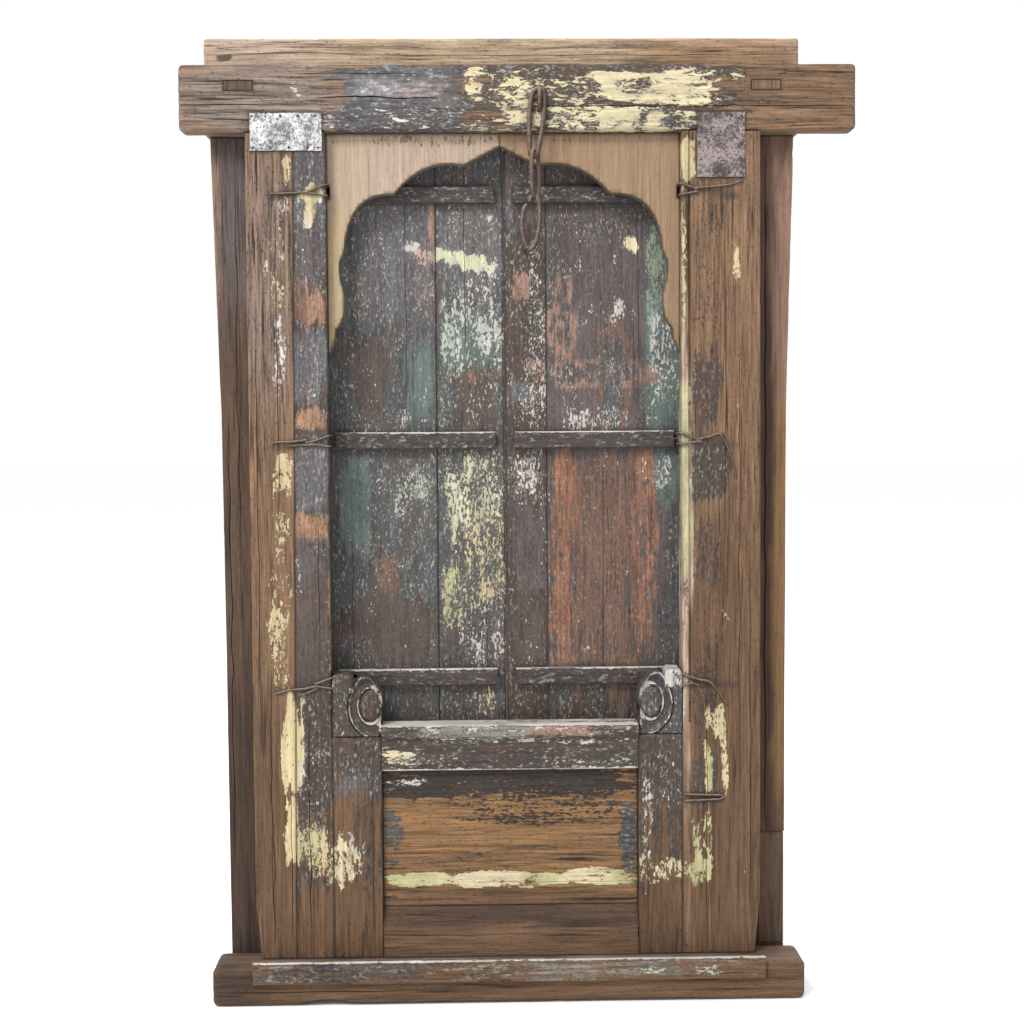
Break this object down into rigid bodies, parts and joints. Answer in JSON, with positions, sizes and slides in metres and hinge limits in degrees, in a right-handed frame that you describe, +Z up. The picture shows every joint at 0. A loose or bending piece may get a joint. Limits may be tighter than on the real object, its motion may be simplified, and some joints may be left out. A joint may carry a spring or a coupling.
{
  "type": "wooden window with shutters",
  "caption": "Old carved wooden window frame with a cusped arch, hinged plank shutters, a low framed panel with scroll brackets and an iron chain.",
  "frame": {"origin": "on the ground under the middle of the sill, in the plane of the front frame's face", "axes": "+Z up, front of the window towards -Y, +X to the right seen from the front"},
  "size_m": [1.008, 0.1506, 1.449],
  "materials": {
    "aged_wood": "bare weathered hardwood with remains of paint",
    "pale_wood": "bare sanded hardwood",
    "dark_wood": "dark stained old wood",
    "painted_wood": "many layers of worn and flaking paint on old wood",
    "old_iron": "rusty hand-forged iron",
    "zinc": "dull galvanised sheet with dark specks"
  },
  "bodies": {
    "frame": {"arch_spandrel_left": "pale_wood", "arch_spandrel_right": "pale_wood", "chain_hook": "old_iron", "chain_link_lower": "old_iron", "chain_link_upper": "old_iron", "chain_staple": "old_iron", "clench_staple": "old_iron", "front_jamb_left_inner": "painted_wood", "front_jamb_left_outer": "aged_wood", "front_jamb_right": "painted_wood", "hinge_pin_left_bottom": "old_iron", "hinge_pin_left_middle": "old_iron", "hinge_pin_left_top": "old_iron", "hinge_pin_right_bottom": "old_iron", "hinge_pin_right_middle": "old_iron", "hinge_pin_right_top": "old_iron", "joint_plate_left": "zinc", "joint_plate_right": "zinc", "lintel": "aged_wood", "lintel_key_left": "dark_wood", "lintel_key_right": "dark_wood", "panel_board": "painted_wood", "panel_bottom_rail": "aged_wood", "panel_stile_left": "aged_wood", "panel_stile_right": "aged_wood", "panel_top_rail": "painted_wood", "rear_header": "pale_wood", "rear_jamb_left": "dark_wood", "rear_jamb_repair": "dark_wood", "rear_jamb_right": "dark_wood", "scroll_bracket_left": "dark_wood", "scroll_bracket_right": "dark_wood", "sill": "aged_wood", "threshold_strip": "painted_wood"},
    "leaf_left": {"leaf_left_batten_bottom": "dark_wood", "leaf_left_batten_middle": "dark_wood", "leaf_left_batten_top": "dark_wood", "leaf_left_eye_bottom": "old_iron", "leaf_left_eye_middle": "old_iron", "leaf_left_eye_top": "old_iron", "leaf_left_plank_inner": "painted_wood", "leaf_left_plank_outer": "painted_wood"},
    "leaf_right": {"leaf_right_batten_bottom": "dark_wood", "leaf_right_batten_middle": "dark_wood", "leaf_right_batten_top": "dark_wood", "leaf_right_eye_bottom": "old_iron", "leaf_right_eye_middle": "old_iron", "leaf_right_eye_top": "old_iron", "leaf_right_plank": "painted_wood", "leaf_right_staple": "old_iron", "leaf_right_stile": "painted_wood"}
  },
  "joints": [
    {"name": "leaf_left_hinge", "type": "hinge", "parent": "frame", "child": "leaf_left", "pos_m": [-0.272, 0.051, 0.844], "axis": [0, 0, 1], "range_deg": [0, 100]},
    {"name": "leaf_right_hinge", "type": "hinge", "parent": "frame", "child": "leaf_right", "pos_m": [0.272, 0.051, 0.844], "axis": [0, 0, -1], "range_deg": [0, 100]}
  ]
}
